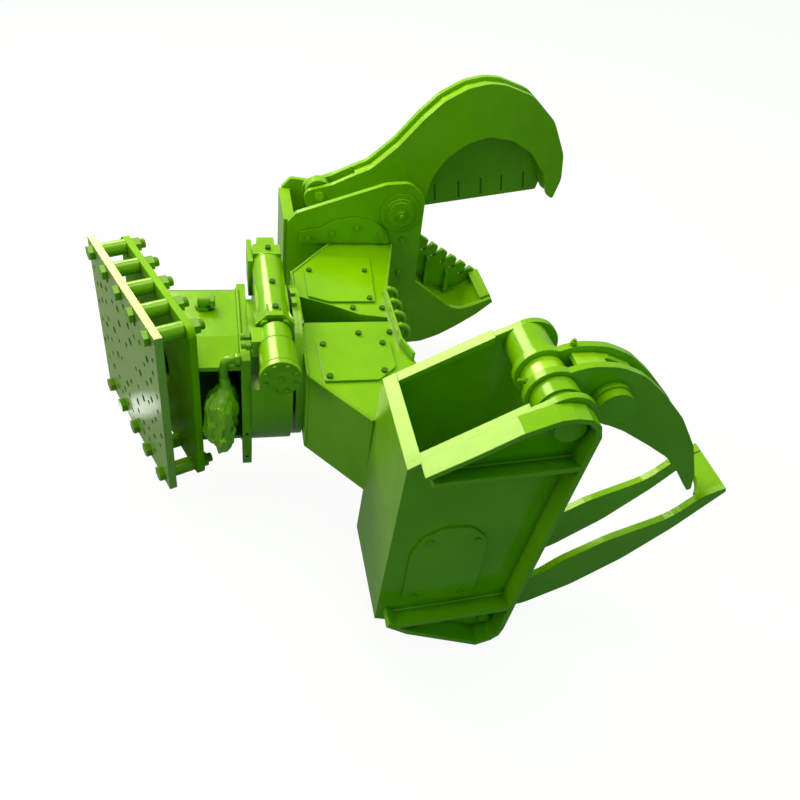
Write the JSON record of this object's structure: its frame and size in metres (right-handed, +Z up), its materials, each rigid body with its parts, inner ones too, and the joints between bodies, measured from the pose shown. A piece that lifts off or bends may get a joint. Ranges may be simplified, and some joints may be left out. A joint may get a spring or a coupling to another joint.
{
  "type": "excavator tree shear",
  "caption": "Hydraulic tree shear head for an excavator, with a slewing drive on a bolted mount plate, a hooked cutting jaw with blade on one side and a grapple claw over a fork on the other",
  "frame": {"origin": "centre of the outer face of the outer mount plate, on the slewing axis", "axes": "X along the slewing axis from the mount plate to the jaws, Y to the shear side, Z up; the mount plate is turned 22 degrees about Z"},
  "size_m": [1.5244, 1.411, 0.9626],
  "materials": {
    "green_paint": "glossy lime green enamel over steel plate",
    "plate_paint": "thin dusty green paint on a drilled mount plate",
    "rod_chrome": "hard chromed cylinder rod",
    "hose": "rubber hose, wrapped and overpainted green",
    "zinc": "zinc plated steel"
  },
  "bodies": {
    "base": {"outer_plate": "plate_paint", "inner_plate": "green_paint", "spacer_tubes": "green_paint", "clamp_bolts": "green_paint", "clamp_nuts": "green_paint", "neck_shell": "green_paint", "neck_flange": "green_paint", "neck_elbow": "green_paint", "supply_hose": "hose", "hose_bundle": "hose", "drive_housing": "green_paint", "drive_end_block": "green_paint", "drive_plugs": "green_paint", "motor_flange": "green_paint", "motor_body": "green_paint", "motor_cover": "green_paint", "motor_screws": "green_paint", "motor_fittings": "green_paint"},
    "head": {"slew_ring": "green_paint", "head_flange": "green_paint", "ring_bolts": "green_paint", "head_shell": "green_paint", "shear_side_cover": "green_paint", "grapple_side_cover": "green_paint", "cover_bolts": "green_paint", "hose_guard": "green_paint", "hose_loops": "hose", "shear_near_plate": "green_paint", "shear_far_plate": "green_paint", "shear_back_wall": "green_paint", "jaw_floor": "green_paint", "toothed_plate": "green_paint", "shear_cover": "green_paint", "shear_cover_bolts": "green_paint", "shear_bosses": "green_paint", "shear_pivot_pin": "green_paint", "shear_base_pin": "green_paint", "grapple_box": "green_paint", "grapple_frame": "green_paint", "grapple_cover": "green_paint", "grapple_cover_bolts": "green_paint", "grapple_bosses": "green_paint", "grapple_pivot_pin": "green_paint", "grapple_base_pin": "green_paint", "fork": "green_paint"},
    "hook": {"hook_near_plate": "green_paint", "hook_far_plate": "green_paint", "hook_web": "green_paint", "blade": "green_paint", "blade_bolts": "green_paint", "hook_tail_pin": "green_paint"},
    "shear_barrel": {"shear_barrel": "green_paint"},
    "shear_rod": {"shear_rod": "rod_chrome"},
    "claw": {"claw_near_plate": "green_paint", "claw_far_plate": "green_paint", "claw_web": "green_paint", "claw_rod_pin": "green_paint", "grease_nipple": "zinc"},
    "claw_barrel": {"claw_barrel": "green_paint"},
    "claw_rod": {"claw_rod": "rod_chrome"}
  },
  "joints": [
    {"name": "slew", "type": "hinge", "parent": "base", "child": "head", "pos_m": [0.42, 0, 0], "axis": [1, 0, 0], "continuous": true},
    {"name": "hook_pivot", "type": "hinge", "parent": "head", "child": "hook", "pos_m": [0.793, 0.53, 0.242], "axis": [0, 1, 0], "range_deg": [-3, 41]},
    {"name": "shear_barrel_pivot", "type": "hinge", "parent": "head", "child": "shear_barrel", "pos_m": [0.6, 0.53, -0.15], "axis": [0, 1, 0], "range_deg": [-1, 8.5]},
    {"name": "shear_rod_slide", "type": "slide", "parent": "shear_barrel", "child": "shear_rod", "axis": [-0.1167, 0, 0.9932], "range_m": [-0.0125, 0.158]},
    {"name": "claw_pivot", "type": "hinge", "parent": "head", "child": "claw", "pos_m": [0.9, -0.5635, 0.37], "axis": [0, 1, 0], "range_deg": [-45, 10]},
    {"name": "claw_barrel_pivot", "type": "hinge", "parent": "head", "child": "claw_barrel", "pos_m": [0.855, -0.5635, -0.287], "axis": [0, 1, 0], "range_deg": [-4, 1]},
    {"name": "claw_rod_slide", "type": "slide", "parent": "claw_barrel", "child": "claw_rod", "axis": [0.263, 0, 0.9648], "range_m": [-0.021, 0.0925]}
  ],
  "couplings": [
    {"joint": "shear_barrel_pivot", "follows": "hook_pivot", "ratio": 0.1922},
    {"joint": "shear_rod_slide", "follows": "hook_pivot", "m_per_rad": 0.219},
    {"joint": "claw_barrel_pivot", "follows": "claw_pivot", "ratio": 0.076},
    {"joint": "claw_rod_slide", "follows": "claw_pivot", "m_per_rad": -0.1153}
  ]
}
